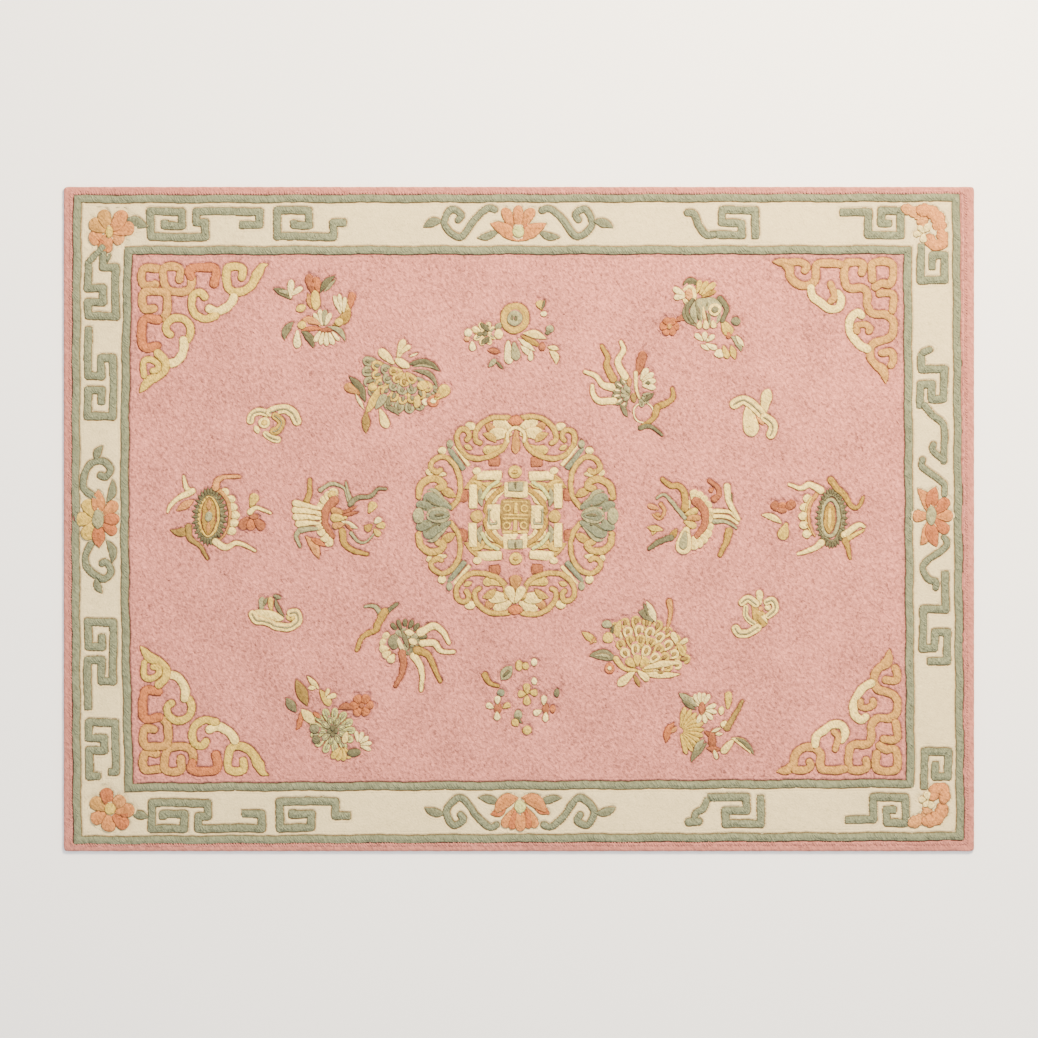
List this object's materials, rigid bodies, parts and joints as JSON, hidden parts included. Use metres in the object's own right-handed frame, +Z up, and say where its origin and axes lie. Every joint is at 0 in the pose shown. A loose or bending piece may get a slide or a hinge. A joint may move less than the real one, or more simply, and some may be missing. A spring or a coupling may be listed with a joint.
{
  "type": "hand-tufted area rug",
  "caption": "Rectangular hand-tufted wool rug lying flat, with guard stripes, key frets, corner scrolls, a centre medallion and flower sprays carved and raised in its pile.",
  "frame": {"origin": "centre of the flat underside, on the floor", "axes": "+X along the rug's long side, +Y along its short side, +Z up through the pile"},
  "size_m": [3.35, 2.445, 0.0175],
  "materials": {
    "rose_wool": "matte cut wool pile"
  },
  "bodies": {
    "root": {"rug": "rose_wool"}
  },
  "joints": []
}
